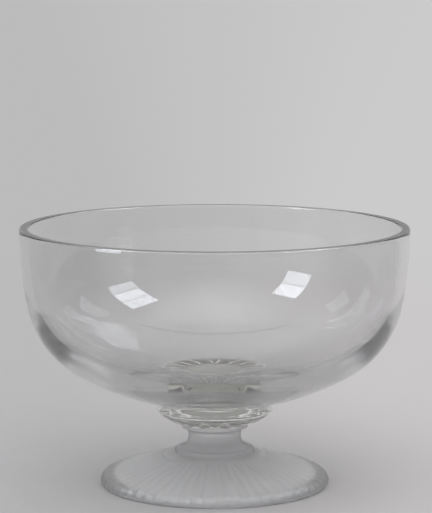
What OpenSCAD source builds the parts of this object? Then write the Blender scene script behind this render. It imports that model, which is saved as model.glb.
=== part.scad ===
// Footed glass trifle bowl.
// A clear blown bowl is bonded to a clear fluted collar, and the collar to a satin pressed foot.
// Millimetres, +Z up, origin on the table under the middle of the foot.

/* [Bowl] */
// Outside diameter of the rim
rim_d = 220; // [190:1:250]
// Height of the bowl, from the lowest point of its base to the rim
bowl_h = 103; // [90:1:120]
// Wall at the rim
rim_wall = 5; // [3.5:0.5:7]
// Glass at the lowest point of the base
base_wall = 9; // [6:0.5:12]
// Radius of the side, outside
side_curve = 242; // [210:1:300]
// Radius of the turn from the side into the base, outside
turn_curve = 56.5; // [46:0.5:62]
// Radius of the turn from the side into the base, inside
inner_turn_curve = 50; // [44:0.5:56]
// Radius of the base, outside
base_curve = 158; // [140:1:180]
// Radius of the base, inside
inner_base_curve = 150; // [135:1:170]
// Bevel ground along both edges of the rim
rim_bevel = 1; // [0.4:0.1:1.5]

/* [Collar] */
// Diameter across the lip of the collar
collar_d = 66; // [58:1:74]
// Diameter of the collar where it stands on the stem
collar_foot_d = 40; // [34:1:46]
// Height of the fluted side under the lip
cup_h = 7.4; // [5:0.1:8.5]
// Radius of the fluted side, which swells outwards
cup_curve = 25; // [18:1:40]
// Height of the edge of the lip
lip_h = 0.9; // [0.5:0.1:2]
// Glass on the axis, between the collar's foot and the lowest point of its seat
collar_h = 9.1; // [7:0.1:12]
// Diameter of the seat that holds the bowl
seat_d = 52; // [40:1:56]
// Number of flutes round the collar
collar_flutes = 16; // [12:1:18]
// Distance that a collar flute reaches in from the edge of the collar's foot
collar_flute_depth = 1.2; // [0.6:0.1:2]
// Radius of a collar flute
collar_flute_r = 3.2; // [2.6:0.1:3.6]
// Radius of the line along the bottom of a collar flute
collar_flute_curve = 28; // [22:1:40]

/* [Foot] */
// Widest diameter of the foot
foot_d = 130; // [116:1:146]
// Height of the dome of the foot where it meets the ring
dome_h = 18.5; // [16:0.1:21]
// Radius of the dome, which is nearly a cone
dome_curve = 600; // [300:10:1200]
// Rounding of the foot's edge, from the dome down to the widest line of the foot
edge_round = 4.9; // [4:0.1:6]
// Rounding of the sole, up to the widest line of the foot
sole_round = 2.2; // [1:0.1:3]
// Width of the flat ring that the foot stands on
sole_w = 7; // [4:0.5:12]
// Depth of the hollow under the foot, which reaches in from that ring
hollow_h = 9; // [6:0.5:11]
// Number of flutes round the foot
foot_flutes = 60; // [36:2:64]
// Diameter of the circle where the foot's flutes begin
flute_start_d = 56; // [50:1:60]
// Distance from the widest line of the foot in to the ends of its flutes
flute_margin = 1.5; // [1:0.1:3]
// Radius of a foot flute
flute_r = 5; // [4:0.1:5.4]

/* [Stem] */
// Diameter of the ring at the bottom of the stem
ring_d = 45; // [41:0.5:49]
// Height of the ring
ring_h = 2.4; // [1.6:0.1:5]
// Rounding of the ring's upper edge
ring_round = 1.2; // [0.3:0.1:1.4]
// Diameter of the neck
neck_d = 30; // [24:0.5:35]
// Height of the straight part of the neck
neck_h = 2; // [0.5:0.5:20]
// Fillet between the neck and the ring
neck_fillet = 6; // [3:0.5:6]
// Fillet between the neck and the stem's top
top_fillet = 4; // [3:0.5:6]
// Height of the band round the stem's top
top_band_h = 1.8; // [1:0.1:4]

/* [Bond] */
// Thickness of the clear adhesive
bond = 0.3; // [0.2:0.05:0.5]
// Distance that the adhesive stays back from an edge
bond_setback = 0.3; // [0.1:0.1:1]

/* [Hidden] */
$fn = 180;
// How far a cutting shape runs past what it cuts
overrun = 1;
// Where a collar flute runs out, along the side from the collar's foot to the lip
flute_runout_share = 0.85;
clear_glass = [0.86, 0.88, 0.88, 0.5];
satin_glass = [0.80, 0.81, 0.81];
adhesive = [0.90, 0.91, 0.88, 0.6];

// Heights, stacked up from the table
ring_z = dome_h;
fillet_z = ring_z + ring_h;
neck_z = fillet_z + neck_fillet;
shoulder_z = neck_z + neck_h;
band_z = shoulder_z + top_fillet;
stem_top_z = band_z + top_band_h;
collar_z = stem_top_z + bond;
lip_z = collar_z + cup_h;
seat_z = collar_z + collar_h;
bowl_z = seat_z + bond;
rim_z = bowl_z + bowl_h;

// Radii
rim_r = rim_d / 2;
neck_r = neck_d / 2;
ring_r = ring_d / 2;
stem_top_r = neck_r + top_fillet;
foot_r = foot_d / 2;
collar_r = collar_d / 2;
collar_foot_r = collar_foot_d / 2;
seat_r = seat_d / 2;
bowl_bond_r = seat_r - bond_setback;
stem_bond_r = min(stem_top_r, collar_foot_r - collar_flute_depth) - bond_setback;

// Centre of the outside of the base, shared by the bowl, the adhesive and the collar's seat
base_centre_z = bowl_z + base_curve;

// Centres of the foot's edge and of the dome, which runs from the ring into the edge, and where they meet
edge_centre = [foot_r - edge_round, sole_round];
dome_centre = meeting([ring_r, dome_h], dome_curve, edge_centre, dome_curve - edge_round);
edge_start = edge_centre + edge_round * unit(edge_centre - dome_centre);

// Ends of the straight line along the bottom of a foot flute
flute_start_r = flute_start_d / 2;
flute_end_r = foot_r - flute_margin;
flute_start = [flute_start_r, arc_height(dome_centre, dome_curve, flute_start_r)];
flute_end = [flute_end_r, arc_height(edge_centre, edge_round, flute_end_r)];

// Ends and centre of the collar's side, then of the line along the bottom of a collar flute
cup_low = [collar_foot_r, collar_z];
cup_high = [collar_r, lip_z];
cup_centre = arc_centre(cup_high, cup_low, cup_curve);
cup_turn = bearing(cup_high, cup_centre) - bearing(cup_low, cup_centre);
collar_flute_end = bearing(cup_low, cup_centre) + flute_runout_share * cup_turn;
collar_flute_low = [collar_foot_r - collar_flute_depth, collar_z];
collar_flute_high = cup_centre + cup_curve * [cos(collar_flute_end), sin(collar_flute_end)];
collar_flute_centre = arc_centre(collar_flute_low, collar_flute_high, collar_flute_curve);

function unit(v) = v / norm(v);

// Height of the upper side of a circle at a given radius from the axis
function arc_height(centre, radius, at) = centre.y + sqrt(radius ^ 2 - (at - centre.x) ^ 2);

// Point at given distances from two others, on the right-hand side of the way from one to the other
function meeting(from, from_r, to, to_r) =
    let (way = to - from)
    let (along = (from_r ^ 2 - to_r ^ 2 + way * way) / (2 * norm(way)))
    let (across = sqrt(from_r ^ 2 - along ^ 2))
    from + along * unit(way) + across * unit([way.y, -way.x]);

// Centre of an arc between two points, on the right-hand side of the way from one to the other
function arc_centre(from, to, radius) = meeting(from, radius, to, radius);

// Direction of a point seen from a centre, in degrees
function bearing(point, centre) = atan2(point.y - centre.y, point.x - centre.x);

// Flat rectangle between two corners
module flat_box(low, high) {
    translate(low)
        square(high - low);
}

// Flat disc about a centre
module flat_disc(centre, radius) {
    translate(centre)
        circle(radius);
}

// Half section of a bowl form: side, turn and base arcs that run into one another.
// The turn's disc lies inside the other two, so it laps over them and leaves no seam
module bowl_form(mouth, floor_z, side, turn, base) {
    side_centre = [mouth - side, rim_z];
    base_centre = [0, floor_z + base];
    centre = meeting(side_centre, side - turn, base_centre, base - turn);
    side_end = centre + turn * unit(centre - side_centre);
    base_end = centre + turn * unit(centre - base_centre);
    intersection() {
        flat_disc(side_centre, side);
        flat_box([0, side_end.y], [mouth + overrun, rim_z]);
    }
    intersection() {
        flat_disc(centre, turn);
        flat_box([centre.x, base_end.y - overrun], [centre.x + turn, side_end.y + overrun]);
    }
    flat_box([0, base_end.y - overrun], [centre.x + overrun, side_end.y + overrun]);
    intersection() {
        flat_disc(base_centre, base);
        flat_box([0, floor_z], base_end);
    }
}

// Bevel taken off an edge of the rim; turn is 1 for the outer edge and -1 for the inner one
module rim_bevel_cut(edge, turn) {
    reach = rim_bevel + overrun;
    polygon([
        [edge - turn * rim_bevel, rim_z],
        [edge - turn * rim_bevel + turn * reach, rim_z - reach],
        [edge - turn * rim_bevel + turn * reach, rim_z + overrun],
        [edge - turn * rim_bevel, rim_z + overrun]
    ]);
}

// Clear blown bowl with a ground rim
module bowl() {
    mouth_r = rim_r - rim_wall;
    color(clear_glass)
    rotate_extrude()
    difference() {
        bowl_form(rim_r, bowl_z, side_curve, turn_curve, base_curve);
        bowl_form(mouth_r, bowl_z + base_wall, side_curve - rim_wall, inner_turn_curve, inner_base_curve);
        flat_box([0, rim_z - rim_bevel], [mouth_r, rim_z + overrun]);
        rim_bevel_cut(rim_r, 1);
        rim_bevel_cut(mouth_r, -1);
    }
}

// Film of adhesive in the collar's seat
module bowl_bond() {
    color(adhesive)
    rotate_extrude()
    intersection() {
        difference() {
            flat_disc([0, base_centre_z], base_curve + bond);
            flat_disc([0, base_centre_z], base_curve);
        }
        flat_box([0, seat_z], [bowl_bond_r, base_centre_z]);
    }
}

// Round bar bent along an arc in the plane of X and Z, which cuts one flute of the collar
module flute_cut(centre, path_r, section_r, from, to) {
    translate([centre.x, 0, centre.y])
        rotate([90, 0, 0])
        rotate([0, 0, from])
        rotate_extrude(angle = to - from)
        translate([path_r, 0])
        circle(section_r);
}

// Groove up the side of the collar, open at the collar's foot, that runs out below the lip
module collar_flute_cut() {
    past = asin(overrun / collar_flute_curve);
    flute_cut(
        collar_flute_centre,
        collar_flute_curve - collar_flute_r,
        collar_flute_r,
        bearing(collar_flute_high, collar_flute_centre) - past,
        bearing(collar_flute_low, collar_flute_centre) + past
    );
}

// Half section of the collar: a cup with a thin lip, and the seat sunk into its top
module collar_form() {
    seat_edge_z = base_centre_z - sqrt((base_curve + bond) ^ 2 - seat_r ^ 2);
    difference() {
        intersection() {
            polygon([
                [0, collar_z],
                [collar_r, collar_z],
                [collar_r, lip_z + lip_h],
                [seat_r, seat_edge_z],
                [0, seat_edge_z]
            ]);
            union() {
                flat_disc(cup_centre, cup_curve);
                flat_box([0, collar_z - overrun], [cup_centre.x, seat_edge_z + overrun]);
            }
        }
        flat_disc([0, base_centre_z], base_curve + bond);
    }
}

// Clear fluted collar between the bowl and the stem
module fluted_collar() {
    color(clear_glass)
    difference() {
        rotate_extrude()
            collar_form();
        for (turn = [0 : collar_flutes - 1])
            rotate([0, 0, turn * 360 / collar_flutes])
            collar_flute_cut();
    }
}

// Film of adhesive between the collar and the stem
module stem_bond() {
    color(adhesive)
    translate([0, 0, stem_top_z])
        cylinder(h = bond, r = stem_bond_r);
}

// Half section of the domed foot plate. Each smaller disc lies inside the next, and all of them lap
module dome_form() {
    intersection() {
        flat_disc(dome_centre, dome_curve);
        flat_box([0, 0], [edge_start.x, dome_h]);
    }
    intersection() {
        flat_disc(edge_centre, edge_round);
        flat_box([edge_start.x - overrun, sole_round], [foot_r + overrun, dome_h]);
    }
    flat_box([0, 0], [foot_r - sole_round, sole_round + overrun]);
    flat_disc([foot_r - sole_round, sole_round], sole_round);
}

// Half section of the stem: ring, neck between two fillets, and the band at its top
module stem_form() {
    ring_edge = [ring_r - ring_round, fillet_z - ring_round];
    fillet_foot_r = min(neck_r + neck_fillet, ring_edge.x);
    flat_box([0, 0], [ring_r, ring_edge.y]);
    flat_box([0, 0], [ring_edge.x, fillet_z]);
    flat_disc(ring_edge, ring_round);
    flat_box([0, 0], [neck_r, stem_top_z]);
    difference() {
        flat_box([0, ring_z], [fillet_foot_r, neck_z]);
        flat_disc([neck_r + neck_fillet, neck_z], neck_fillet);
    }
    difference() {
        flat_box([0, shoulder_z], [stem_top_r, stem_top_z]);
        flat_disc([stem_top_r, shoulder_z], top_fillet);
    }
}

// Straight round bar that cuts one groove down the dome of the foot and runs out at both ends
module foot_flute_cut() {
    fall = -bearing(flute_end, flute_start);
    translate([flute_start.x, 0, flute_start.y])
        rotate([0, fall, 0])
        translate([-overrun, 0, flute_r])
        rotate([0, 90, 0])
        cylinder(h = norm(flute_end - flute_start) + 2 * overrun, r = flute_r);
}

// Satin pressed foot with its stem, hollow underneath
module foot() {
    hollow_r = foot_r - sole_round - sole_w;
    hollow_curve = (hollow_r ^ 2 + hollow_h ^ 2) / (2 * hollow_h);
    color(satin_glass)
    difference() {
        rotate_extrude()
        difference() {
            union() {
                dome_form();
                stem_form();
            }
            flat_disc([0, hollow_h - hollow_curve], hollow_curve);
        }
        for (turn = [0 : foot_flutes - 1])
            rotate([0, 0, turn * 360 / foot_flutes])
            foot_flute_cut();
    }
}

bowl();
bowl_bond();
fluted_collar();
stem_bond();
foot();
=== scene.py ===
"""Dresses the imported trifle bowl: a clear bowl on a fluted collar and a satin foot, in a plain studio."""

import logging
import math
from dataclasses import dataclass, field

import bmesh
import bpy
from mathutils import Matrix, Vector


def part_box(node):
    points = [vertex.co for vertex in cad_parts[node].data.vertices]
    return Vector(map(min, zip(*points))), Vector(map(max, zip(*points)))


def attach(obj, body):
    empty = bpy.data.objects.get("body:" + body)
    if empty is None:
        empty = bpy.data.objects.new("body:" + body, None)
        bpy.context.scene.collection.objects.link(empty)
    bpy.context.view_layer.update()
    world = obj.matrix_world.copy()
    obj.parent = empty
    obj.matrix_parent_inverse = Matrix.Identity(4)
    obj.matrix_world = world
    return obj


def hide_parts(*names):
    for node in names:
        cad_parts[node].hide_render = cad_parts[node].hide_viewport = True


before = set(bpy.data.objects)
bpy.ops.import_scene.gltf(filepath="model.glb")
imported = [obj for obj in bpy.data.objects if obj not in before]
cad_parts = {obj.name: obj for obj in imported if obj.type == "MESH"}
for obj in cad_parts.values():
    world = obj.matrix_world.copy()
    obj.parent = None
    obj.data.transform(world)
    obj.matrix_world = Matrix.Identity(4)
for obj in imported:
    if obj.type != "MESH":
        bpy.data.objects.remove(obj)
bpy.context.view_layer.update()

MM = 0.001
FACE_MARGIN = 0.05 * MM
BODY = "root"
LOG = logging.getLogger("trifle_bowl")

Point = tuple[float, float]
Node = bpy.types.Node
Socket = bpy.types.NodeSocket


def linear(colour: str) -> tuple[float, float, float, float]:
    """Turns an sRGB hex colour into linear light.

    Args:
        colour: Six hex digits, with or without a leading hash.

    Returns:
        Red, green, blue and an alpha of one.
    """
    digits = colour.lstrip("#")
    shares = [int(digits[i:i + 2], 16) / 255 for i in (0, 2, 4)]
    red, green, blue = (s / 12.92 if s <= 0.04045 else ((s + 0.055) / 1.055) ** 2.4 for s in shares)
    return red, green, blue, 1.0


def add_node(tree: bpy.types.NodeTree, kind: str, inputs: dict | None = None, **settings: str) -> Node:
    """Adds a node, sets its properties, and fills or links its inputs.

    Args:
        tree: The tree that gets the node.
        kind: Blender's name for the kind of node.
        inputs: Input name or number to a value, to the socket that feeds it, or to the node whose first
            output does.
        **settings: Properties of the node itself.

    Returns:
        The new node.
    """
    node = tree.nodes.new(kind)
    for key, value in settings.items():
        setattr(node, key, value)
    for key, value in (inputs or {}).items():
        feed = value.outputs[0] if isinstance(value, Node) else value
        if isinstance(feed, Socket):
            tree.links.new(feed, node.inputs[key])
        else:
            node.inputs[key].default_value = feed
    return node


def new_material(name: str) -> tuple[bpy.types.Material, bpy.types.NodeTree, Socket]:
    """Starts a material with an empty tree.

    Args:
        name: Name of the material.

    Returns:
        The material, its tree, and the object coordinates that its patterns follow.
    """
    material = bpy.data.materials.new(name)
    material.use_nodes = True
    tree = material.node_tree
    tree.nodes.clear()
    return material, tree, add_node(tree, "ShaderNodeTexCoord").outputs["Object"]


def unit(way: Point) -> Point:
    """Scales a flat vector to a length of one."""
    length = math.hypot(*way)
    return way[0] / length, way[1] / length


def along(start: Point, way: Point, distance: float) -> Point:
    """Gives the point that lies a distance from another along a unit vector."""
    return start[0] + way[0] * distance, start[1] + way[1] * distance


def meeting(start: Point, start_r: float, end: Point, end_r: float) -> Point:
    """Finds the point at given distances from two others, to the right of the way from one to the other.

    Args:
        start: First point.
        start_r: Distance from the first point.
        end: Second point.
        end_r: Distance from the second point.

    Returns:
        The point where the two circles meet.
    """
    way = (end[0] - start[0], end[1] - start[1])
    gap = math.hypot(*way)
    run = (start_r ** 2 - end_r ** 2 + gap ** 2) / (2 * gap)
    rise = math.sqrt(start_r ** 2 - run ** 2)
    return along(along(start, unit(way), run), unit((way[1], -way[0])), rise)


def arc_centre(start: Point, end: Point, radius: float) -> Point:
    """Finds the centre of an arc, to the right of the way from its start to its end."""
    return meeting(start, radius, end, radius)


@dataclass
class Outline:
    """Half section of a turned piece, from its top on the axis out and round to its bottom on the axis."""

    points: list[Point] = field(default_factory=list)

    def line(self, *ends: Point, steps: int = 1) -> "Outline":
        """Runs straight to each point in turn.

        Args:
            *ends: Points to pass through.
            steps: Number of equal steps to each point.

        Returns:
            This outline, so that calls can follow one another.
        """
        for end in ends:
            if not self.points:
                self.points.append(end)
                continue
            start = self.points[-1]
            for step in range(1, steps + 1):
                share = step / steps
                self.points.append(tuple(a + (b - a) * share for a, b in zip(start, end)))
        return self

    def arc(self, centre: Point, end: Point, steps: int) -> "Outline":
        """Runs round a centre, the short way, to a point.

        Args:
            centre: Centre of the arc.
            end: Point where the arc ends.
            steps: Number of equal steps.

        Returns:
            This outline, so that calls can follow one another.
        """
        start = self.points[-1]
        first = math.atan2(start[1] - centre[1], start[0] - centre[0])
        last = math.atan2(end[1] - centre[1], end[0] - centre[0])
        sweep = (last - first + math.pi) % (2 * math.pi) - math.pi
        radius = math.dist(start, centre)
        for step in range(1, steps):
            angle = first + sweep * step / steps
            self.points.append(along(centre, (math.cos(angle), math.sin(angle)), radius))
        self.points.append(end)
        return self

    def outward(self, index: int) -> Point:
        """Gives the unit vector that points out of the glass at one of the outline's points."""
        before = self.points[max(index - 1, 0)]
        after = self.points[min(index + 1, len(self.points) - 1)]
        return unit((before[1] - after[1], after[0] - before[0]))


@dataclass(frozen=True)
class SpoonFlutes:
    """A ring of equal petals, each cut by a round bar whose lowest line is an arc bent into the surface.

    The line runs from start, the end nearer the axis, to end. The edges are softened by edge_round,
    as the fire leaves them.
    """

    count: int
    edge_round: float
    section_r: float
    line_r: float
    start: Point
    end: Point

    def depth(self, point: Point) -> float:
        """Gives the depth of a flute's middle line under a point, below zero where there is no flute."""
        if point[0] < self.start[0]:
            return -self.section_r
        return self.line_r - math.dist(point, arc_centre(self.start, self.end, self.line_r))

    def radius(self, point: Point) -> float:
        """Gives the radius of a flute's section at a point."""
        return self.section_r


@dataclass(frozen=True)
class RadialFlutes:
    """A ring of flutes of an even depth that widen away from the axis and meet in crisp ridges.

    They start at a radius, run out over the edge, and end at a height. Both ends rise at the given slope.
    """

    count: int
    edge_round: float
    full_depth: float
    start_r: float
    end_z: float
    end_slope: float

    def depth(self, point: Point) -> float:
        """Gives the depth of a flute's middle line under a point, below zero where there is no flute."""
        radius, height = point
        if radius < self.start_r or height < self.end_z:
            return -self.start_r
        return min(self.full_depth, self.end_slope * (radius - self.start_r),
                   self.end_slope * (height - self.end_z))

    def radius(self, point: Point) -> float:
        """Gives the radius of a flute's section at a point, at which neighbours just meet."""
        half_pitch = math.pi * max(point[0], self.start_r) / self.count
        return half_pitch ** 2 / (2 * self.full_depth)


Flutes = SpoonFlutes | RadialFlutes


class TurningTree:
    """Geometry nodes that turn an outline about +Z and press a ring of flutes into it."""

    DEPTH = "flute_depth"
    RADIUS = "flute_radius"
    OUTWARD = "flute_outward"
    SEAM = 0.002 * MM

    def __init__(self) -> None:
        """Builds the tree with its named inputs."""
        self.tree = bpy.data.node_groups.new("turned_and_fluted", "GeometryNodeTree")
        face = self.tree.interface
        face.new_socket("Outline", in_out="INPUT", socket_type="NodeSocketGeometry")
        face.new_socket("Segments", in_out="INPUT", socket_type="NodeSocketInt")
        face.new_socket("Flutes", in_out="INPUT", socket_type="NodeSocketInt")
        face.new_socket("Edge round", in_out="INPUT", socket_type="NodeSocketFloat")
        face.new_socket("Finish", in_out="INPUT", socket_type="NodeSocketMaterial")
        face.new_socket("Piece", in_out="OUTPUT", socket_type="NodeSocketGeometry")
        self._fill()

    def _bottom(self, depth: Node, across: Node, radius: Node) -> Node:
        """Adds the depth of a flute's round bottom at a distance from its middle line.

        Args:
            depth: Depth of the middle line.
            across: Distance from the middle line.
            radius: Radius of the flute's section.

        Returns:
            The depth there, below zero outside the flute.
        """
        tree = self.tree
        square = add_node(tree, "ShaderNodeMath", {0: across, 1: across}, operation="MULTIPLY")
        width = add_node(tree, "ShaderNodeMath", {0: radius, 1: 2.0}, operation="MULTIPLY")
        rise = add_node(tree, "ShaderNodeMath", {0: square, 1: width}, operation="DIVIDE")
        return add_node(tree, "ShaderNodeMath", {0: depth, 1: rise}, operation="SUBTRACT")

    def _fill(self) -> None:
        """Adds the nodes: a grid, its place on the turned outline, the flutes, and the finish."""
        tree = self.tree
        given = add_node(tree, "NodeGroupInput").outputs
        count = add_node(tree, "GeometryNodeAttributeDomainSize", {
            0: given["Outline"]}).outputs["Point Count"]
        columns = add_node(tree, "ShaderNodeMath", {0: given["Segments"], 1: 1.0}, operation="ADD")
        grid = add_node(tree, "GeometryNodeMeshGrid", {
            "Size X": 1.0, "Size Y": 1.0, "Vertices X": columns, "Vertices Y": count})
        flat = add_node(tree, "ShaderNodeSeparateXYZ", {
            0: add_node(tree, "GeometryNodeInputPosition")}).outputs
        turn = add_node(tree, "ShaderNodeMath", {0: flat["X"], 1: 0.5}, operation="ADD")
        progress = add_node(tree, "ShaderNodeMath", {0: flat["Y"], 1: 0.5}, operation="ADD")
        last = add_node(tree, "ShaderNodeMath", {0: count, 1: 1.0}, operation="SUBTRACT")
        index = add_node(tree, "ShaderNodeMath", {0: progress, 1: last}, operation="MULTIPLY")
        row = add_node(tree, "ShaderNodeMath", {0: index}, operation="ROUND")

        def on_outline(value: Node, data_type: str) -> Node:
            """Reads a value of the outline's point that a grid row stands for."""
            return add_node(tree, "GeometryNodeSampleIndex", {
                "Geometry": given["Outline"], "Value": value, "Index": row}, data_type=data_type)

        place = on_outline(add_node(tree, "GeometryNodeInputPosition"), "FLOAT_VECTOR")
        depth = on_outline(add_node(
            tree, "GeometryNodeInputNamedAttribute", {"Name": self.DEPTH}), "FLOAT")
        section_r = on_outline(add_node(
            tree, "GeometryNodeInputNamedAttribute", {"Name": self.RADIUS}), "FLOAT")
        outward = on_outline(add_node(
            tree, "GeometryNodeInputNamedAttribute", {"Name": self.OUTWARD},
            data_type="FLOAT_VECTOR"), "FLOAT_VECTOR")

        radius = add_node(tree, "ShaderNodeSeparateXYZ", {0: place}).outputs["X"]
        girth = add_node(tree, "ShaderNodeMath", {0: radius, 1: 2 * math.pi}, operation="MULTIPLY")
        pitch = add_node(tree, "ShaderNodeMath", {0: girth, 1: given["Flutes"]}, operation="DIVIDE")
        passed = add_node(tree, "ShaderNodeMath", {0: turn, 1: given["Flutes"]}, operation="MULTIPLY")
        within = add_node(tree, "ShaderNodeMath", {0: passed}, operation="FRACT")
        aside = add_node(tree, "ShaderNodeMath", {0: within, 1: 0.5}, operation="SUBTRACT")
        apart = add_node(tree, "ShaderNodeMath", {0: aside}, operation="ABSOLUTE")
        across = add_node(tree, "ShaderNodeMath", {0: apart, 1: pitch}, operation="MULTIPLY")
        beyond = add_node(tree, "ShaderNodeMath", {0: pitch, 1: across}, operation="SUBTRACT")
        own = self._bottom(depth, across, section_r)
        next_one = self._bottom(depth, beyond, section_r)
        both = add_node(tree, "ShaderNodeMath", {
            0: own, 1: next_one, 2: given["Edge round"]}, operation="SMOOTH_MAX")
        cut = add_node(tree, "ShaderNodeMath", {
            0: both, 1: 0.0, 2: given["Edge round"]}, operation="SMOOTH_MAX")
        sink = add_node(tree, "ShaderNodeVectorMath", {0: outward, "Scale": cut}, operation="SCALE")
        sunk = add_node(tree, "ShaderNodeVectorMath", {0: place, 1: sink}, operation="SUBTRACT")
        angle = add_node(tree, "ShaderNodeMath", {0: turn, 1: 2 * math.pi}, operation="MULTIPLY")
        turned = add_node(tree, "ShaderNodeVectorRotate", {
            "Vector": sunk, "Angle": angle}, rotation_type="Z_AXIS")

        placed = add_node(tree, "GeometryNodeSetPosition", {
            "Geometry": grid.outputs["Mesh"], "Position": turned})
        closed = add_node(tree, "GeometryNodeMergeByDistance", {
            "Geometry": placed, "Distance": self.SEAM})
        real = add_node(tree, "GeometryNodeRealizeInstances", {0: closed})
        done = add_node(tree, "GeometryNodeSetMaterial", {
            "Geometry": real, "Material": given["Finish"]})
        add_node(tree, "NodeGroupOutput", {0: done})

    def turn(self, name: str, outline: Outline, segments: int, finish: bpy.types.Material,
             flutes: Flutes | None = None) -> bpy.types.Object:
        """Makes a closed piece from an outline.

        Args:
            name: Name of the piece.
            outline: Half section of the piece.
            segments: Number of faces round the piece.
            finish: Material of the piece.
            flutes: Flutes to press into it, or None.

        Returns:
            The piece as a plain mesh object at the origin.
        """
        blank = bpy.data.meshes.new(name + "_outline")
        blank.from_pydata([(r, 0.0, z) for r, z in outline.points], [], [])
        depths = [flutes.depth(p) if flutes else -1.0 for p in outline.points]
        blank.attributes.new(self.DEPTH, "FLOAT", "POINT").data.foreach_set("value", depths)
        radii = [flutes.radius(p) if flutes else 1.0 for p in outline.points]
        blank.attributes.new(self.RADIUS, "FLOAT", "POINT").data.foreach_set("value", radii)
        ways = [outline.outward(i) for i in range(len(outline.points))]
        blank.attributes.new(self.OUTWARD, "FLOAT_VECTOR", "POINT").data.foreach_set(
            "vector", [x for r, z in ways for x in (r, 0.0, z)])
        carrier = bpy.data.objects.new(name + "_outline", blank)
        bpy.context.scene.collection.objects.link(carrier)
        modifier = carrier.modifiers.new("turned", "NODES")
        modifier.node_group = self.tree
        values = {
            "Segments": segments,
            "Flutes": flutes.count if flutes else 1,
            "Edge round": flutes.edge_round if flutes else 0.0,
            "Finish": finish,
        }
        for socket in self.tree.interface.items_tree:
            if socket.in_out == "INPUT" and socket.name in values:
                modifier[socket.identifier] = values[socket.name]
        graph = bpy.context.evaluated_depsgraph_get()
        mesh = bpy.data.meshes.new_from_object(carrier.evaluated_get(graph))
        carrier.modifiers.remove(modifier)
        bpy.data.objects.remove(carrier)
        bpy.data.meshes.remove(blank)
        mesh.name = name
        piece = bpy.data.objects.new(name, mesh)
        bpy.context.scene.collection.objects.link(piece)
        smooth_outwards(mesh)
        return piece


def smooth_outwards(mesh: bpy.types.Mesh, crease: float = math.radians(35)) -> None:
    """Turns a closed mesh's faces outwards and shades it smooth, with its sharp edges kept.

    Args:
        mesh: The mesh to change.
        crease: Angle between faces above which an edge stays sharp.
    """
    work = bmesh.new()
    work.from_mesh(mesh)
    bmesh.ops.recalc_face_normals(work, faces=work.faces)
    work.to_mesh(mesh)
    work.free()
    mesh.shade_smooth()
    mesh.set_sharp_from_angle(angle=crease)


def wet(piece: bpy.types.Object, wetted: bpy.types.Material, low: float, high: float,
        reach: float) -> None:
    """Gives a piece's bonded faces the finish of glass that the adhesive wets.

    Args:
        piece: The piece.
        wetted: The finish of the bonded faces.
        low: Height under which no face is bonded.
        high: Height over which no face is bonded.
        reach: Distance from the axis past which no face is bonded.
    """
    mesh = piece.data
    if wetted.name not in mesh.materials:
        mesh.materials.append(wetted)
    for face in mesh.polygons:
        place = face.center
        if low < place.z < high and math.hypot(place.x, place.y) < reach:
            face.material_index = mesh.materials.find(wetted.name)


@dataclass(frozen=True)
class BlownGlass:
    """Clear crystal, blown and fire polished.

    It is bright and colourless where it is thin and a little grey where it is thick. Its skin is
    never quite even, so what it mirrors wavers, and wiping leaves it a little dull in patches. The
    flat of the rim is ground, which leaves it a little rough, and it is tinted dark grey: painted
    shade for the dark room that the flat mirrors.
    """

    ground_from_z: float
    name: str = "fire_polished_crystal"
    tint: str = "#F6F6F6"
    tint_thick: str = "#EEEEEE"
    # Painted shade: the dark grey tint of the rim's flat, for the dark room that it mirrors.
    rim_painted_shade: str = "#5C5C5E"
    depth_colour: str = "#DCDCDB"
    depth_density: float = 8.0
    ior: float = 1.52
    roughness: float = 0.0
    wipe_roughness: float = 0.02
    wipe_span: Point = (0.35, 0.75)
    ground_roughness: float = 0.3
    wave_size: float = 26 * MM
    wave_height: float = 0.012 * MM
    wave_detail: float = 1.0
    wave_gain: float = 0.4

    def build(self) -> bpy.types.Material:
        """Makes the material."""
        material, tree, place = new_material(self.name)
        wave = add_node(tree, "ShaderNodeTexNoise", {
            "Vector": place, "Scale": 1 / self.wave_size, "Detail": self.wave_detail,
            "Roughness": self.wave_gain})
        bump = add_node(tree, "ShaderNodeBump", {
            "Height": wave, "Distance": self.wave_height, "Strength": 1.0})
        height = add_node(tree, "ShaderNodeSeparateXYZ", {0: place}).outputs["Z"]
        ground = add_node(tree, "ShaderNodeMath", {
            0: height, 1: self.ground_from_z}, operation="GREATER_THAN")
        blown = add_node(tree, "ShaderNodeMix", {
            0: wave, 6: linear(self.tint), 7: linear(self.tint_thick)}, data_type="RGBA").outputs[2]
        # The flat of the rim takes the dark grey tint here: painted shade for the dark room that it mirrors.
        tint = add_node(tree, "ShaderNodeMix", {
            0: ground, 6: blown, 7: linear(self.rim_painted_shade)}, data_type="RGBA").outputs[2]
        wipe = add_node(tree, "ShaderNodeMapRange", {
            "Value": wave, "From Min": self.wipe_span[0], "From Max": self.wipe_span[1],
            "To Min": self.roughness, "To Max": self.wipe_roughness})
        roughness = add_node(tree, "ShaderNodeMix", {0: ground, 2: wipe, 3: self.ground_roughness})
        surface = add_node(tree, "ShaderNodeBsdfPrincipled", {
            "Base Color": tint, "Roughness": roughness, "IOR": self.ior,
            "Transmission Weight": 1.0, "Normal": bump})
        volume = add_node(tree, "ShaderNodeVolumeAbsorption", {
            "Color": linear(self.depth_colour), "Density": self.depth_density})
        add_node(tree, "ShaderNodeOutputMaterial", {"Surface": surface, "Volume": volume})
        return material


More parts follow.
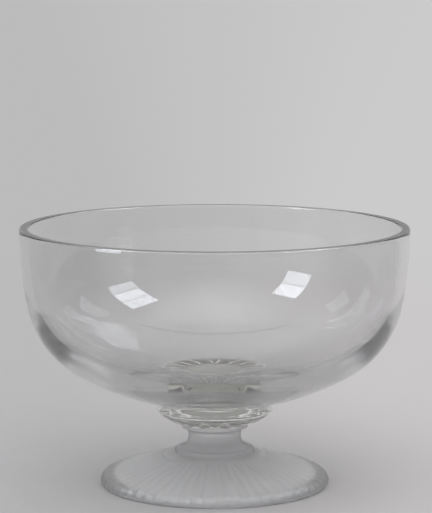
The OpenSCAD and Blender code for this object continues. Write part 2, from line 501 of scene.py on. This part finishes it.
@dataclass(frozen=True)
class SatinGlass:
    """Pressed crystal with an acid-etched satin skin.

    It lets light through as a soft pale glow, most of all in the stem, and it clears a little towards
    the edge of the foot. The stem's top stays white under the adhesive. The etch is a fine grit of
    about 0.1 mm, drawn at 0.6 mm in the roughness, and the skin clouds and waves slowly.
    """

    top_from_z: float
    name: str = "acid_etched_crystal"
    tint: str = "#FDFCFC"
    tint_deep: str = "#F6F5F6"
    glow: float = 0.8
    glow_depth: float = 2.5 * MM
    clarity_stem: float = 0.9
    clarity_dome: float = 0.74
    clarity_edge: float = 0.78
    clarity_top: float = 0.2
    ior: float = 1.52
    stem_satin: float = 0.55
    satin: float = 0.32
    edge_satin: float = 0.42
    grit: float = 0.6 * MM
    grit_detail: float = 2.0
    grit_share: float = 0.5
    cloud: float = 9 * MM
    cloud_detail: float = 3.0
    cloud_height: float = 0.02 * MM
    patch_span: Point = (0.3, 0.7)
    patch_shares: Point = (0.88, 1.12)
    stem_r: float = 22 * MM
    dome_r: float = 30 * MM
    edge_from_r: float = 58 * MM
    edge_to_r: float = 64 * MM

    def build(self) -> bpy.types.Material:
        """Makes the material."""
        material, tree, place = new_material(self.name)
        grit = add_node(tree, "ShaderNodeTexNoise", {
            "Vector": place, "Scale": 1 / self.grit, "Detail": self.grit_detail})
        cloud = add_node(tree, "ShaderNodeTexNoise", {
            "Vector": place, "Scale": 1 / self.cloud, "Detail": self.cloud_detail})
        bump = add_node(tree, "ShaderNodeBump", {
            "Height": cloud, "Distance": self.cloud_height, "Strength": 1.0})
        flat = add_node(tree, "ShaderNodeVectorMath", {
            0: place, 1: (1.0, 1.0, 0.0)}, operation="MULTIPLY")
        radius = add_node(tree, "ShaderNodeVectorMath", {0: flat}, operation="LENGTH").outputs["Value"]
        height = add_node(tree, "ShaderNodeSeparateXYZ", {0: place}).outputs["Z"]
        at_dome = add_node(tree, "ShaderNodeMapRange", {
            "Value": radius, "From Min": self.stem_r, "From Max": self.dome_r,
        }, interpolation_type="SMOOTHSTEP")
        at_edge = add_node(tree, "ShaderNodeMapRange", {
            "Value": radius, "From Min": self.edge_from_r, "From Max": self.edge_to_r,
        }, interpolation_type="SMOOTHSTEP")
        at_top = add_node(tree, "ShaderNodeMath", {
            0: height, 1: self.top_from_z}, operation="GREATER_THAN")

        dome_satin = add_node(tree, "ShaderNodeMix", {0: at_edge, 2: self.satin, 3: self.edge_satin})
        even = add_node(tree, "ShaderNodeMix", {0: at_dome, 2: self.stem_satin, 3: dome_satin})
        uneven = add_node(tree, "ShaderNodeMix", {0: self.grit_share, 2: cloud, 3: grit})
        patches = add_node(tree, "ShaderNodeMapRange", {
            "Value": uneven, "From Min": self.patch_span[0], "From Max": self.patch_span[1],
            "To Min": self.patch_shares[0], "To Max": self.patch_shares[1]})
        roughness = add_node(tree, "ShaderNodeMath", {0: even, 1: patches}, operation="MULTIPLY")
        dome_clarity = add_node(tree, "ShaderNodeMix", {
            0: at_edge, 2: self.clarity_dome, 3: self.clarity_edge})
        side_clarity = add_node(tree, "ShaderNodeMix", {
            0: at_dome, 2: self.clarity_stem, 3: dome_clarity})
        clarity = add_node(tree, "ShaderNodeMix", {0: at_top, 2: side_clarity, 3: self.clarity_top})
        tint = add_node(tree, "ShaderNodeMix", {
            0: cloud, 6: linear(self.tint), 7: linear(self.tint_deep)}, data_type="RGBA").outputs[2]
        surface = add_node(tree, "ShaderNodeBsdfPrincipled", {
            "Base Color": tint, "Roughness": roughness, "IOR": self.ior,
            "Subsurface Weight": self.glow, "Subsurface Radius": (1.0, 1.0, 1.0),
            "Subsurface Scale": self.glow_depth,
            "Transmission Weight": clarity, "Normal": bump})
        add_node(tree, "ShaderNodeOutputMaterial", {"Surface": surface})
        return material


@dataclass(frozen=True)
class ClearAdhesive:
    """Light-cured acrylic adhesive, clear and slightly warm, of nearly the same index as the glass."""

    name: str = "light_cured_adhesive"
    tint: str = "#FEFEFC"
    tint_edge: str = "#FBFAF6"
    ior: float = 1.51
    roughness: float = 0.01
    ripple: float = 7 * MM
    ripple_detail: float = 1.0

    def build(self) -> bpy.types.Material:
        """Makes the material."""
        material, tree, place = new_material(self.name)
        ripple = add_node(tree, "ShaderNodeTexNoise", {
            "Vector": place, "Scale": 1 / self.ripple, "Detail": self.ripple_detail})
        tint = add_node(tree, "ShaderNodeMix", {
            0: ripple, 6: linear(self.tint), 7: linear(self.tint_edge)}, data_type="RGBA").outputs[2]
        surface = add_node(tree, "ShaderNodeBsdfPrincipled", {
            "Base Color": tint, "Roughness": self.roughness, "IOR": self.ior,
            "Transmission Weight": 1.0})
        add_node(tree, "ShaderNodeOutputMaterial", {"Surface": surface})
        return material


@dataclass(frozen=True)
class WettedFace(ClearAdhesive):
    """A face that the adhesive wets, where the indices of both sides match.

    So no light turns or is mirrored there.
    """

    name: str = "wetted_face"
    tint: str = "#FFFFFE"
    tint_edge: str = "#FCFCFA"
    ior: float = 1.0
    roughness: float = 0.0


@dataclass
class Bowl:
    """The clear blown bowl: side, turn and base arcs outside and inside, and a ground rim."""

    side_curve: float = 242 * MM
    turn_curve: float = 56.5 * MM
    base_curve: float = 158 * MM
    inner_turn_curve: float = 50 * MM
    inner_base_curve: float = 150 * MM
    rim_wall: float = 5 * MM
    base_wall: float = 9 * MM
    rim_bevel: float = 1 * MM
    bevel_steps: int = 6
    rim_r: float = 110 * MM
    floor_steps: int = 30
    turn_steps: int = 34
    side_steps: int = 16
    rim_steps: int = 2
    under_steps: int = 20
    bond_steps: int = 12
    segments: int = 288

    def __post_init__(self) -> None:
        """Takes the heights and the bond's radius from the frame."""
        low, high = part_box("bowl")
        self.base_z = low.z
        self.rim_z = high.z
        self.bond_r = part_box("bowl_bond")[1].x

    def _form(self, mouth: float, floor_z: float, side: float, turn: float,
              base: float) -> tuple[Point, ...]:
        """Finds the arcs of a bowl form.

        Args:
            mouth: Radius at the height of the rim.
            floor_z: Height of the lowest point.
            side: Radius of the side.
            turn: Radius of the turn.
            base: Radius of the base.

        Returns:
            Centres of the side, turn and base, then the points where side meets turn and turn meets base.
        """
        side_centre = (mouth - side, self.rim_z)
        base_centre = (0.0, floor_z + base)
        turn_centre = meeting(side_centre, side - turn, base_centre, base - turn)
        to_side = unit((turn_centre[0] - side_centre[0], turn_centre[1] - side_centre[1]))
        to_base = unit((turn_centre[0] - base_centre[0], turn_centre[1] - base_centre[1]))
        return (side_centre, turn_centre, base_centre,
                along(turn_centre, to_side, turn), along(turn_centre, to_base, turn))

    def outline(self) -> Outline:
        """Draws the half section, from the inner floor over the rim to the underside."""
        mouth_r = self.rim_r - self.rim_wall
        floor_z = self.base_z + self.base_wall
        bevel = self.rim_bevel
        bevel_z = self.rim_z - bevel
        side_in, turn_in, base_in, high_in, low_in = self._form(
            mouth_r, floor_z, self.side_curve - self.rim_wall,
            self.inner_turn_curve, self.inner_base_curve)
        side_out, turn_out, base_out, high_out, low_out = self._form(
            self.rim_r, self.base_z, self.side_curve, self.turn_curve, self.base_curve)
        bond_edge = (self.bond_r, base_out[1] - math.sqrt(self.base_curve ** 2 - self.bond_r ** 2))
        return (Outline()
                .line((0.0, floor_z))
                .arc(base_in, low_in, self.floor_steps)
                .arc(turn_in, high_in, self.turn_steps)
                .arc(side_in, (mouth_r, bevel_z), self.side_steps)
                .arc((mouth_r + bevel, bevel_z), (mouth_r + bevel, self.rim_z), self.bevel_steps)
                .line((self.rim_r - bevel, self.rim_z), steps=self.rim_steps)
                .arc((self.rim_r - bevel, bevel_z), (self.rim_r, bevel_z), self.bevel_steps)
                .arc(side_out, high_out, self.side_steps)
                .arc(turn_out, low_out, self.turn_steps)
                .arc(base_out, bond_edge, self.under_steps)
                .arc(base_out, (0.0, self.base_z), self.bond_steps))

    def build(self, lathe: TurningTree, glass: bpy.types.Material,
              wetted: bpy.types.Material) -> bpy.types.Object:
        """Makes the bowl.

        Args:
            lathe: The tree that turns outlines.
            glass: The clear glass.
            wetted: The finish of bonded faces.

        Returns:
            The piece.
        """
        piece = lathe.turn("clear_bowl", self.outline(), self.segments, glass)
        wet(piece, wetted, self.base_z - self.base_wall, self.base_z + self.base_wall / 2, self.bond_r)
        return piece


@dataclass
class Collar:
    """The clear fluted collar between the bowl and the stem, and the adhesive on both its faces."""

    bowl: Bowl
    foot_r: float = 20 * MM
    lip_r: float = 33 * MM
    cup_h: float = 7.4 * MM
    cup_curve: float = 25 * MM
    lip_h: float = 0.9 * MM
    lip_round: float = 0.2 * MM
    seat_r: float = 26 * MM
    bond: float = 0.3 * MM
    bond_setback: float = 0.3 * MM
    bond_bite: float = 0.05 * MM
    flute_count: int = 16
    flute_section_r: float = 3.2 * MM
    flute_reach: float = 1.2 * MM
    flute_curve: float = 28 * MM
    flute_runout: float = 0.85
    flute_edge: float = 0.25 * MM
    seat_steps: int = 14
    cone_steps: int = 4
    lip_steps: int = 2
    cup_steps: int = 40
    base_steps: int = 8
    film_steps: int = 6
    segments: int = 512

    def __post_init__(self) -> None:
        """Takes the height from the frame."""
        self.base_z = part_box("fluted_collar")[0].z
        self.lip_z = self.base_z + self.cup_h
        self.cup_centre = arc_centre((self.lip_r, self.lip_z), (self.foot_r, self.base_z), self.cup_curve)
        self.seat_centre = (0.0, self.bowl.base_z + self.bowl.base_curve)
        self.seat_curve = self.bowl.base_curve + self.bond

    def _seat_height(self, radius: float, curve: float) -> float:
        """Gives the height of a sphere about the seat's centre at a radius from the axis."""
        return self.seat_centre[1] - math.sqrt(curve ** 2 - radius ** 2)

    def flutes(self) -> SpoonFlutes:
        """Describes the petal-like flutes of the cup."""
        low_turn = math.atan2(self.base_z - self.cup_centre[1], self.foot_r - self.cup_centre[0])
        high_turn = math.atan2(self.lip_z - self.cup_centre[1], self.lip_r - self.cup_centre[0])
        turn = low_turn + (high_turn - low_turn) * self.flute_runout
        high = along(self.cup_centre, (math.cos(turn), math.sin(turn)), self.cup_curve)
        low = (self.foot_r - self.flute_reach, self.base_z)
        return SpoonFlutes(self.flute_count, self.flute_edge, self.flute_section_r,
                           self.flute_curve, low, high)

    def outline(self) -> Outline:
        """Draws the half section, from the seat over the lip to the collar's foot."""
        seat_edge = (self.seat_r, self._seat_height(self.seat_r, self.seat_curve))
        lip_top = (self.lip_r, self.lip_z + self.lip_h)
        low_lip = (self.lip_r, self.lip_z)
        foot_edge = (self.foot_r, self.base_z)
        inwards = unit((seat_edge[0] - lip_top[0], seat_edge[1] - lip_top[1]))
        lip_turn = math.atan2(low_lip[1] - self.cup_centre[1], low_lip[0] - self.cup_centre[0])
        lip_turn -= self.lip_round / self.cup_curve
        under_lip = along(self.cup_centre, (math.cos(lip_turn), math.sin(lip_turn)), self.cup_curve)
        return (Outline()
                .line((0.0, self._seat_height(0.0, self.seat_curve)))
                .arc(self.seat_centre, seat_edge, self.seat_steps)
                .line(along(lip_top, inwards, self.lip_round), steps=self.cone_steps)
                .line(along(lip_top, (0.0, -1.0), self.lip_round))
                .line(along(low_lip, (0.0, 1.0), self.lip_round), steps=self.lip_steps)
                .line(under_lip)
                .arc(self.cup_centre, foot_edge, self.cup_steps)
                .line((self.foot_r - 2 * self.flute_reach, self.base_z), steps=self.base_steps)
                .line((0.0, self.base_z)))

    def build(self, lathe: TurningTree, glass: bpy.types.Material,
              wetted: bpy.types.Material) -> bpy.types.Object:
        """Makes the collar.

        Args:
            lathe: The tree that turns outlines.
            glass: The clear glass.
            wetted: The finish of bonded faces.

        Returns:
            The piece.
        """
        piece = lathe.turn("clear_collar", self.outline(), self.segments, glass, self.flutes())
        wet(piece, wetted, self._seat_height(0.0, self.seat_curve) - self.bond,
            self._seat_height(self.seat_r, self.seat_curve) + self.bond, self.bowl.bond_r)
        wet(piece, wetted, self.base_z - self.bond, self.base_z + self.bond_bite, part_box("stem_bond")[1].x)
        return piece

    def build_bowl_bond(self, lathe: TurningTree, adhesive: bpy.types.Material,
                        wetted: bpy.types.Material) -> bpy.types.Object:
        """Makes the film under the bowl, which wets the glass on both its faces.

        Args:
            lathe: The tree that turns outlines.
            adhesive: The adhesive.
            wetted: The finish of bonded faces.

        Returns:
            The piece.
        """
        edge = self.seat_r - self.bond_setback
        top = self.bowl.base_curve - self.bond_bite
        bottom = self.seat_curve + self.bond_bite
        film = (Outline()
                .line((0.0, self._seat_height(0.0, top)))
                .arc(self.seat_centre, (edge, self._seat_height(edge, top)), self.seat_steps)
                .line((edge, self._seat_height(edge, bottom)))
                .arc(self.seat_centre, (0.0, self._seat_height(0.0, bottom)), self.seat_steps))
        piece = lathe.turn("clear_bowl_bond", film, self.segments // 2, adhesive)
        wet(piece, wetted, self.base_z, self.bowl.rim_z, edge - self.bond_bite)
        return piece

    def build_stem_bond(self, lathe: TurningTree, adhesive: bpy.types.Material,
                        wetted: bpy.types.Material) -> bpy.types.Object:
        """Makes the film on top of the stem, which wets the glass on both its faces.

        Args:
            lathe: The tree that turns outlines.
            adhesive: The adhesive.
            wetted: The finish of bonded faces.

        Returns:
            The piece.
        """
        low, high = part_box("stem_bond")
        film = (Outline()
                .line((0.0, high.z + self.bond_bite))
                .line((high.x, high.z + self.bond_bite), steps=self.film_steps)
                .line((high.x, low.z - self.bond_bite))
                .line((0.0, low.z - self.bond_bite), steps=self.film_steps))
        piece = lathe.turn("clear_stem_bond", film, self.segments // 2, adhesive)
        wet(piece, wetted, low.z - self.bond, high.z + self.bond, high.x - self.bond_bite)
        return piece


@dataclass
class Foot:
    """The satin pressed foot: a fluted dome, a ring, a neck between two fillets, and a hollow sole."""

    widest_r: float = 65 * MM
    dome_h: float = 18.5 * MM
    dome_curve: float = 600 * MM
    edge_round: float = 4.9 * MM
    sole_round: float = 2.2 * MM
    sole_w: float = 7 * MM
    hollow_h: float = 9 * MM
    ring_r: float = 22.5 * MM
    ring_h: float = 2.4 * MM
    ring_round: float = 1.2 * MM
    neck_r: float = 15 * MM
    neck_h: float = 2 * MM
    neck_fillet: float = 6 * MM
    top_fillet: float = 4 * MM
    flute_count: int = 60
    flute_start_r: float = 28 * MM
    flute_depth: float = 0.75 * MM
    flute_end_z: float = 1.6 * MM
    flute_slope: float = 0.35
    flute_edge: float = 0.15 * MM
    top_steps: int = 4
    straight_steps: int = 2
    fillet_steps: int = 9
    ring_steps: int = 5
    smooth_steps: int = 3
    run_in_steps: int = 4
    dome_steps: int = 17
    edge_steps: int = 18
    sole_steps: int = 6
    hollow_steps: int = 16
    segments: int = 960

    def __post_init__(self) -> None:
        """Takes the stem's top from the frame, and works out the arcs of the dome and its edge."""
        self.top_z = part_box("foot")[1].z
        self.edge_centre = (self.widest_r - self.edge_round, self.sole_round)
        self.dome_centre = meeting((self.ring_r, self.dome_h), self.dome_curve,
                                   self.edge_centre, self.dome_curve - self.edge_round)
        way = unit((self.edge_centre[0] - self.dome_centre[0], self.edge_centre[1] - self.dome_centre[1]))
        self.edge_start = along(self.edge_centre, way, self.edge_round)

    def flutes(self) -> RadialFlutes:
        """Describes the radial flutes of the dome."""
        return RadialFlutes(self.flute_count, self.flute_edge, self.flute_depth,
                            self.flute_start_r, self.flute_end_z, self.flute_slope)

    def _on_dome(self, radius: float) -> Point:
        """Gives the dome's point at a radius from the axis."""
        rise = math.sqrt(self.dome_curve ** 2 - (radius - self.dome_centre[0]) ** 2)
        return radius, self.dome_centre[1] + rise

    def outline(self) -> Outline:
        """Draws the half section, from the stem's top over the dome to the hollow sole."""
        stem_top_r = self.neck_r + self.top_fillet
        fillet_r = self.neck_r + self.neck_fillet
        fillet_z = self.dome_h + self.ring_h
        neck_z = fillet_z + self.neck_fillet
        shoulder_z = neck_z + self.neck_h
        band_z = shoulder_z + self.top_fillet
        run_in_r = self.flute_start_r + self.flute_depth / self.flute_slope
        sole_r = self.widest_r - self.sole_round
        hollow_r = sole_r - self.sole_w
        hollow_curve = (hollow_r ** 2 + self.hollow_h ** 2) / (2 * self.hollow_h)
        return (Outline()
                .line((0.0, self.top_z))
                .line((stem_top_r, self.top_z), steps=self.top_steps)
                .line((stem_top_r, band_z), steps=self.straight_steps)
                .arc((stem_top_r, shoulder_z), (self.neck_r, shoulder_z), self.fillet_steps)
                .line((self.neck_r, neck_z), steps=self.straight_steps)
                .arc((fillet_r, neck_z), (fillet_r, fillet_z), self.fillet_steps)
                .line((self.ring_r - self.ring_round, fillet_z))
                .arc((self.ring_r - self.ring_round, fillet_z - self.ring_round),
                     (self.ring_r, fillet_z - self.ring_round), self.ring_steps)
                .line((self.ring_r, self.dome_h), steps=self.straight_steps)
                .arc(self.dome_centre, self._on_dome(self.flute_start_r), self.smooth_steps)
                .arc(self.dome_centre, self._on_dome(run_in_r), self.run_in_steps)
                .arc(self.dome_centre, self.edge_start, self.dome_steps)
                .arc(self.edge_centre, (self.widest_r, self.sole_round), self.edge_steps)
                .arc((sole_r, self.sole_round), (sole_r, 0.0), self.sole_steps)
                .line((hollow_r, 0.0), steps=self.straight_steps)
                .arc((0.0, self.hollow_h - hollow_curve), (0.0, self.hollow_h), self.hollow_steps))

    def build(self, lathe: TurningTree, glass: bpy.types.Material) -> bpy.types.Object:
        """Makes the foot.

        Args:
            lathe: The tree that turns outlines.
            glass: The satin glass.

        Returns:
            The piece.
        """
        return lathe.turn("satin_foot", self.outline(), self.segments, glass, self.flutes())


@dataclass(frozen=True)
class Lamp:
    """One soft window of the studio, aimed at the bowl, that shows only where the glass mirrors it.

    Its panes stand on one another with bars between them. Each pane has its share of the window's full
    brightness, from the lowest pane upwards.
    """

    name: str
    place: tuple[float, float, float]
    width: float
    height: float
    power: float
    colour: str = "#F0F6FF"
    aim: tuple[float, float, float] = (0.0, 0.0, 0.08)
    pane_shares: tuple[float, ...] = (1.0,)
    bar: float = 0.02

    def build(self) -> None:
        """Makes one area light for each pane."""
        turn = (Vector(self.aim) - Vector(self.place)).to_track_quat("-Z", "Y")
        upwards = turn @ Vector((0.0, 1.0, 0.0))
        count = len(self.pane_shares)
        pane_h = (self.height + self.bar) / count - self.bar
        for number, share in enumerate(self.pane_shares):
            data = bpy.data.lights.new(f"{self.name}_{number}", "AREA")
            data.shape = "RECTANGLE"
            data.size = self.width
            data.size_y = pane_h
            data.energy = self.power * share * pane_h / self.height
            data.color = linear(self.colour)[:3]
            lamp = bpy.data.objects.new(data.name, data)
            rise = (number - (count - 1) / 2) * (pane_h + self.bar)
            lamp.location = Vector(self.place) + upwards * rise
            lamp.rotation_euler = turn.to_euler()
            lamp.visible_camera = False
            lamp.visible_diffuse = False
            lamp.visible_transmission = False
            bpy.context.scene.collection.objects.link(lamp)


@dataclass
class Studio:
    """A pale table that runs out into a pale backdrop, a soft sky, windows to mirror, and the camera.

    A span of the sky is measured on the part of a unit vector along Y, to the back, or along Z, upwards.
    """

    floor_r: float = 14.0
    floor_segments: int = 96
    table_r: float = 0.45
    blend_r: float = 1.1
    # Painted light: the table is darker on the left and lighter on the right, as if lit from the right.
    table_shaded_left: str = "#AAA9AA"
    table_lit_right: str = "#B7B5B6"
    table_light_half: float = 0.1
    # Painted light: the backdrop glows darker on the left and lighter on the right, as if lit from the
    # right.
    backdrop_shaded_left: str = "#BCBBBC"
    backdrop_lit_right: str = "#CCCBCC"
    backdrop_light_half_share: float = 0.1
    backdrop_side: str = "#48484B"
    backdrop_front: str = "#F2F2F2"
    behind_span: Point = (0.55, 0.85)
    front_span: Point = (0.0, -0.4)
    sky_zenith: str = "#F0F0F0"
    zenith_span: Point = (0.10, 0.65)
    sky_power: float = 1.0
    zenith_power: float = 1.35
    power_span: Point = (0.4, 0.9)
    key_way: tuple[float, float, float] = (0.0, -0.45, 0.89)
    key_power: float = 1.2
    key_reach: float = 0.70
    light_bounces: int = 32
    satin_filter: float = 100.0
    camera_place: tuple[float, float, float] = (0.00077, -1.300, 0.3095)
    camera_pitch: float = math.radians(7.853)
    camera_lens: float = 163.1
    camera_sensor: float = 36.0
    lamps: tuple[Lamp, ...] = (
        Lamp("window_left", (-1.290, -0.703, 0.655), 0.50, 1.40, 28.0, pane_shares=(0.5, 0.75, 1.0)),
        Lamp("window_right", (1.175, -0.360, 1.110), 0.58, 0.86, 16.5, pane_shares=(0.6, 1.0, 1.0)),
        Lamp("strip_left", (-1.36, 0.50, 0.65), 0.34, 1.00, 1.2),
        Lamp("strip_right", (1.30, 0.65, 0.75), 0.34, 1.20, 1.4),
    )

    def build_floor(self) -> bpy.types.Object:
        """Makes the table and backdrop as one disc, lit near the bowl and glowing softly far from it."""
        material, tree, place = new_material("paper_sweep")
        axes = add_node(tree, "ShaderNodeSeparateXYZ", {0: place}).outputs
        distance = add_node(tree, "ShaderNodeVectorMath", {0: place}, operation="LENGTH").outputs["Value"]
        sideways = add_node(tree, "ShaderNodeMath", {0: axes["X"], 1: distance}, operation="DIVIDE")
        # Painted light across the backdrop, from the shaded left to the lit right.
        across = add_node(tree, "ShaderNodeMapRange", {
            "Value": sideways, "From Min": -self.backdrop_light_half_share, "From Max": self.backdrop_light_half_share})
        backdrop = add_node(tree, "ShaderNodeMix", {
            0: across, 6: linear(self.backdrop_shaded_left), 7: linear(self.backdrop_lit_right),
        }, data_type="RGBA").outputs[2]
        glow = add_node(tree, "ShaderNodeEmission", {"Color": backdrop, "Strength": 1.0})
        # Painted light across the table, from the shaded left to the lit right.
        painted_light_over_table = add_node(tree, "ShaderNodeMapRange", {
            "Value": axes["X"], "From Min": -self.table_light_half, "From Max": self.table_light_half})
        table = add_node(tree, "ShaderNodeMix", {
            0: painted_light_over_table, 6: linear(self.table_shaded_left), 7: linear(self.table_lit_right),
        }, data_type="RGBA").outputs[2]
        paper = add_node(tree, "ShaderNodeBsdfDiffuse", {"Color": table, "Roughness": 0.0})
        path = add_node(tree, "ShaderNodeLightPath").outputs
        in_glass = add_node(tree, "ShaderNodeMath", {
            0: path["Is Glossy Ray"], 1: path["Is Transmission Ray"]}, operation="MAXIMUM")
        seen = add_node(tree, "ShaderNodeMath", {
            0: path["Is Camera Ray"], 1: in_glass}, operation="MAXIMUM")
        far = add_node(tree, "ShaderNodeMapRange", {
            "Value": distance, "From Min": self.table_r, "From Max": self.blend_r,
        }, interpolation_type="SMOOTHSTEP")
        share = add_node(tree, "ShaderNodeMath", {0: far, 1: seen}, operation="MULTIPLY")
        mixed = add_node(tree, "ShaderNodeMixShader", {0: share, 1: paper, 2: glow})
        add_node(tree, "ShaderNodeOutputMaterial", {"Surface": mixed})

        mesh = bpy.data.meshes.new("sweep")
        work = bmesh.new()
        bmesh.ops.create_circle(work, cap_ends=True, segments=self.floor_segments, radius=self.floor_r)
        work.to_mesh(mesh)
        work.free()
        mesh.materials.append(material)
        floor = bpy.data.objects.new("sweep", mesh)
        bpy.context.scene.collection.objects.link(floor)
        return floor

    def build_sky(self) -> None:
        """Fills the room: pale behind and in front, dark at the sides, bright overhead, with a soft key."""
        world = bpy.data.worlds.new("studio_room")
        bpy.context.scene.world = world
        world.use_nodes = True
        tree = world.node_tree
        tree.nodes.clear()
        way = add_node(tree, "ShaderNodeTexCoord").outputs["Generated"]
        axes = add_node(tree, "ShaderNodeSeparateXYZ", {0: way}).outputs
        colour = linear(self.backdrop_side)
        for axis, span, paint in (
                ("Y", self.front_span, self.backdrop_front),
                ("Y", self.behind_span, self.backdrop_lit_right),
                ("Z", self.zenith_span, self.sky_zenith)):
            share = add_node(tree, "ShaderNodeMapRange", {
                "Value": axes[axis], "From Min": span[0], "From Max": span[1],
            }, interpolation_type="SMOOTHSTEP")
            colour = add_node(tree, "ShaderNodeMix", {
                0: share, 6: colour, 7: linear(paint)}, data_type="RGBA").outputs[2]
        power = add_node(tree, "ShaderNodeMapRange", {
            "Value": axes["Z"], "From Min": self.power_span[0], "From Max": self.power_span[1],
            "To Min": self.sky_power, "To Max": self.zenith_power,
        }, interpolation_type="SMOOTHSTEP")
        nearness = add_node(tree, "ShaderNodeVectorMath", {
            0: way, 1: self.key_way}, operation="DOT_PRODUCT").outputs["Value"]
        key = add_node(tree, "ShaderNodeMapRange", {
            "Value": nearness, "From Min": self.key_reach, "To Max": self.key_power,
        }, interpolation_type="SMOOTHSTEP")
        strength = add_node(tree, "ShaderNodeMath", {0: power, 1: key}, operation="ADD")
        shine = add_node(tree, "ShaderNodeBackground", {"Color": colour, "Strength": strength})
        add_node(tree, "ShaderNodeOutputWorld", {"Surface": shine})

    def build_camera(self) -> None:
        """Places the camera at the photograph's angle."""
        data = bpy.data.cameras.new("camera")
        data.lens = self.camera_lens
        data.sensor_width = self.camera_sensor
        camera = bpy.data.objects.new("camera", data)
        camera.location = self.camera_place
        camera.rotation_euler = (math.pi / 2 - self.camera_pitch, 0.0, 0.0)
        bpy.context.scene.collection.objects.link(camera)
        bpy.context.scene.camera = camera

    def build(self) -> None:
        """Makes the whole stage, and softens what is mirrored behind the satin, against speckles."""
        self.build_floor()
        self.build_sky()
        for lamp in self.lamps:
            lamp.build()
        self.build_camera()
        scene = bpy.context.scene
        scene.view_settings.view_transform = "Standard"
        scene.cycles.max_bounces = self.light_bounces
        scene.cycles.transmission_bounces = self.light_bounces
        scene.cycles.glossy_bounces = self.light_bounces
        scene.cycles.blur_glossy = self.satin_filter


def settle(piece: bpy.types.Object, node: str) -> None:
    """Lets a piece stand for its CAD node and ride on the bowl's one body.

    Args:
        piece: The piece.
        node: The CAD node that it stands for.
    """
    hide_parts(node)
    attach(piece, BODY)
    LOG.info("%s: %d faces, stands for %s", piece.name, len(piece.data.polygons), node)


def main() -> None:
    """Builds every piece in order, then the studio."""
    logging.basicConfig(level=logging.INFO, format="%(name)s %(message)s")
    lathe = TurningTree()
    bowl = Bowl()
    collar = Collar(bowl)
    foot = Foot()
    clear = BlownGlass(ground_from_z=bowl.rim_z - FACE_MARGIN).build()
    satin = SatinGlass(top_from_z=foot.top_z - FACE_MARGIN).build()
    adhesive = ClearAdhesive().build()
    wetted = WettedFace().build()

    settle(bowl.build(lathe, clear, wetted), "bowl")
    settle(collar.build_bowl_bond(lathe, adhesive, wetted), "bowl_bond")
    settle(collar.build(lathe, clear, wetted), "fluted_collar")
    settle(collar.build_stem_bond(lathe, adhesive, wetted), "stem_bond")
    settle(foot.build(lathe, satin), "foot")

    Studio().build()


if __name__ == "__main__":
    main()
